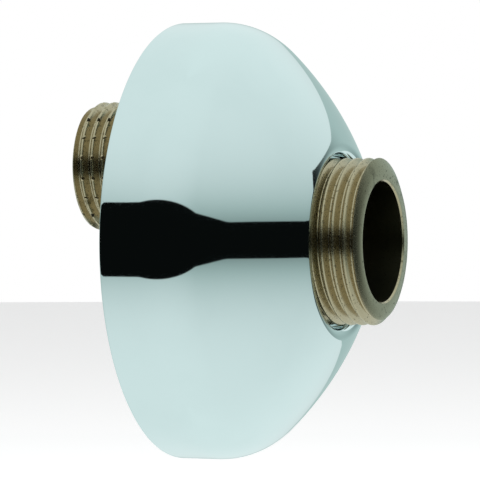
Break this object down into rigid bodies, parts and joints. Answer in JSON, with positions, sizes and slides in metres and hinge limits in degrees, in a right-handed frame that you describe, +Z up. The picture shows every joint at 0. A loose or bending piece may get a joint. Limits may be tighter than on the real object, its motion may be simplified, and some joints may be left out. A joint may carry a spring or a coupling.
{
  "type": "s-union",
  "caption": "Brass offset pipe union with a half inch wall thread, a three quarter inch outlet thread and a polished bell rosette that slides along the outlet.",
  "frame": {"origin": "the point where the axis of the wall thread crosses the face of the wall, which is the plane of the rosette's rim at rest", "axes": "+Y into the wall along the wall thread, -Y out of the wall along the outlet, +Z up, with the outlet's axis 12 mm below the wall thread's"},
  "size_m": [0.07, 0.0493, 0.07],
  "materials": {
    "raw_brass": "turned and slightly tarnished",
    "bright_chrome": "polished plate, mirror bright"
  },
  "bodies": {
    "union": {"union_body": "raw_brass"},
    "rosette": {"rosette": "bright_chrome"}
  },
  "joints": [
    {"name": "rosette_slide", "type": "slide", "parent": "union", "child": "rosette", "axis": [0, -1, 0], "range_m": [-0.0065, 0.011]}
  ]
}
